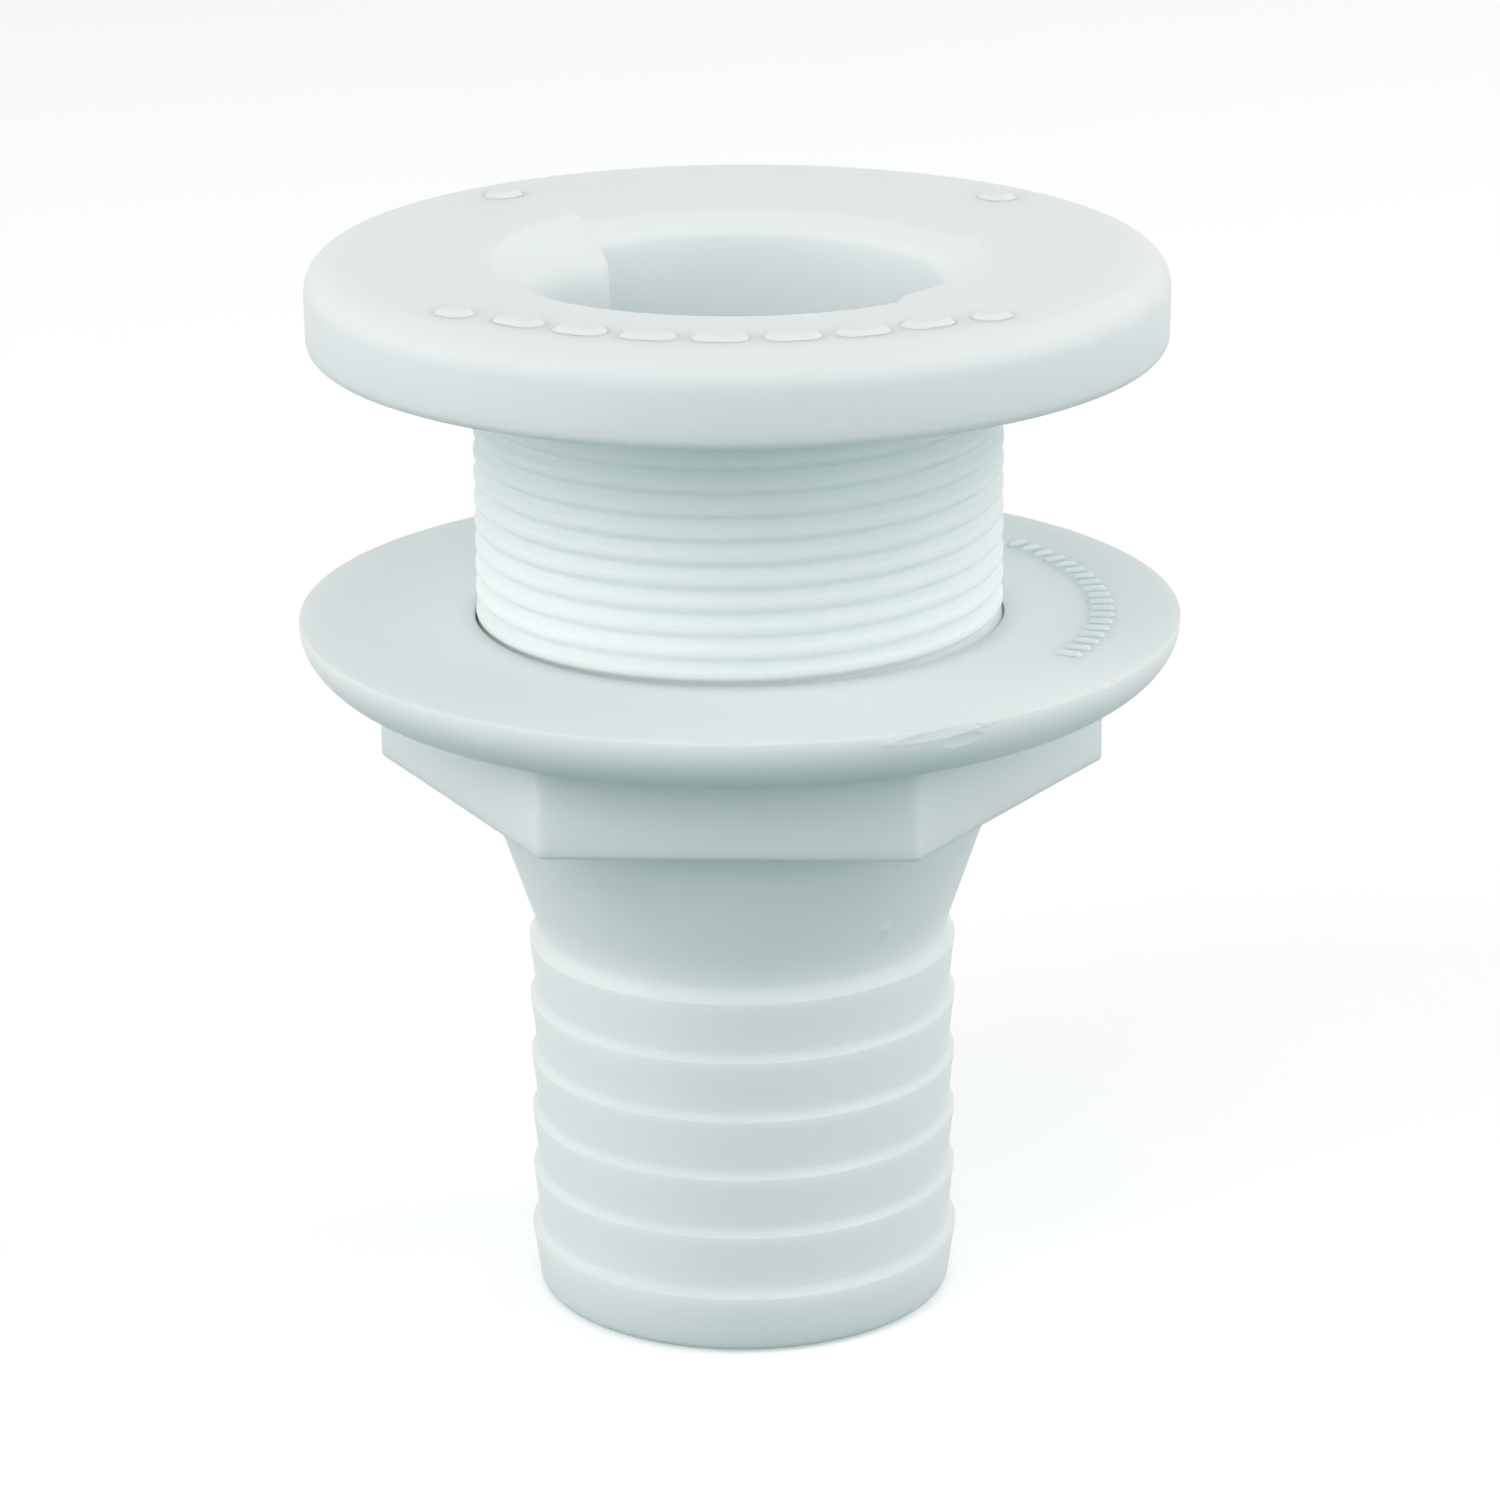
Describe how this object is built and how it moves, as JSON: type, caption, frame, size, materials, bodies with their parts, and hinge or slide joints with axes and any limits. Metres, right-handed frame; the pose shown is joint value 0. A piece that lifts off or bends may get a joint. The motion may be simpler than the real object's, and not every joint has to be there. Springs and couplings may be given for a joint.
{
  "type": "thru hull fitting",
  "caption": "Plastic thru-hull fitting: a round mushroom flange, a threaded barrel with a flanged hex nut, and a barbed hose tail, with a bore right through.",
  "frame": {"origin": "on the bore's axis, in the plane of the flange's underside, which seats on the hull's outer skin", "axes": "+Z along the bore, outboard through the flange; the hose tail points along -Z"},
  "size_m": [0.0796, 0.0796, 0.0978],
  "materials": {
    "body_plastic": "satin moulded white plastic",
    "nut_plastic": "satin moulded white plastic"
  },
  "bodies": {
    "body": {"body": "body_plastic"},
    "flange_nut": {"flange_nut": "nut_plastic"}
  },
  "joints": [
    {"name": "nut_travel", "type": "slide", "parent": "body", "child": "flange_nut", "axis": [0, 0, 1], "range_m": [-0.0505, 0.0246]}
  ]
}
